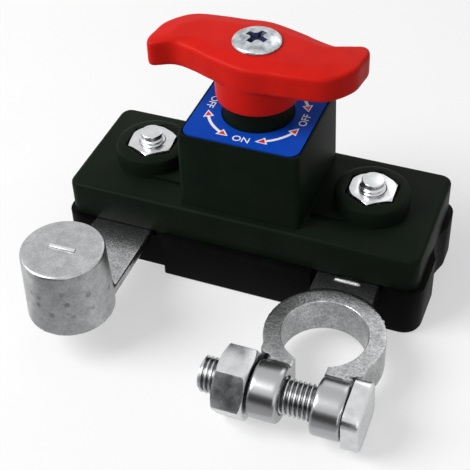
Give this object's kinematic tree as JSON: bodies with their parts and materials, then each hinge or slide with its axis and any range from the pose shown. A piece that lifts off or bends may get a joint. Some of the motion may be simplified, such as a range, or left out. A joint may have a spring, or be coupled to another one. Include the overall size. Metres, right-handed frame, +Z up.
{
  "type": "battery terminal disconnect switch",
  "caption": "Battery isolator: black oblong housing with a square tower, red wing knob, blue dial, threaded cable studs, a tapered battery post and a bolted post clamp on flat bars.",
  "frame": {"origin": "middle of the underside of the housing's base", "axes": "+X along the housing towards the post clamp's side, -Y towards the battery post and the post clamp, +Z up along the knob's axis"},
  "size_m": [0.0852, 0.0726, 0.0592],
  "materials": {
    "housing": "moulded black phenolic with a semi-gloss, finely textured surface",
    "rotor_nylon": "moulded black nylon",
    "label": "printed blue film",
    "knob_red": "moulded red plastic, semi-gloss",
    "casting": "sand-textured cast zinc alloy, tin plated",
    "plated_steel": "bright zinc plated steel",
    "copper": "bright copper strip",
    "spring_steel": "drawn spring wire",
    "rubber": "black rubber"
  },
  "bodies": {
    "housing": {"lower_base": "housing", "upper_cover": "housing", "dial_label": "label", "terminal_post": "casting", "terminal_clamp": "casting", "fixed_contact_left": "copper", "fixed_contact_right": "copper", "stud_bolt_left": "plated_steel", "stud_bolt_right": "plated_steel", "stud_nut_left": "plated_steel", "stud_nut_right": "plated_steel", "clamp_bolt": "plated_steel", "clamp_nut": "plated_steel", "cover_screw_left_front": "plated_steel", "cover_screw_left_rear": "plated_steel", "cover_screw_right_front": "plated_steel", "cover_screw_right_rear": "plated_steel"},
    "switch_rotor": {"knob": "knob_red", "knob_screw": "plated_steel", "rotor": "rotor_nylon", "rotor_seal": "rubber", "contact_bridge": "copper", "contact_spring": "spring_steel", "detent_ball_left": "plated_steel", "detent_ball_right": "plated_steel", "detent_spring_left": "spring_steel", "detent_spring_right": "spring_steel"}
  },
  "joints": [
    {"name": "knob_turn", "type": "hinge", "parent": "housing", "child": "switch_rotor", "pos_m": [0, 0, 0.04], "axis": [0, 0, 1], "continuous": true}
  ]
}
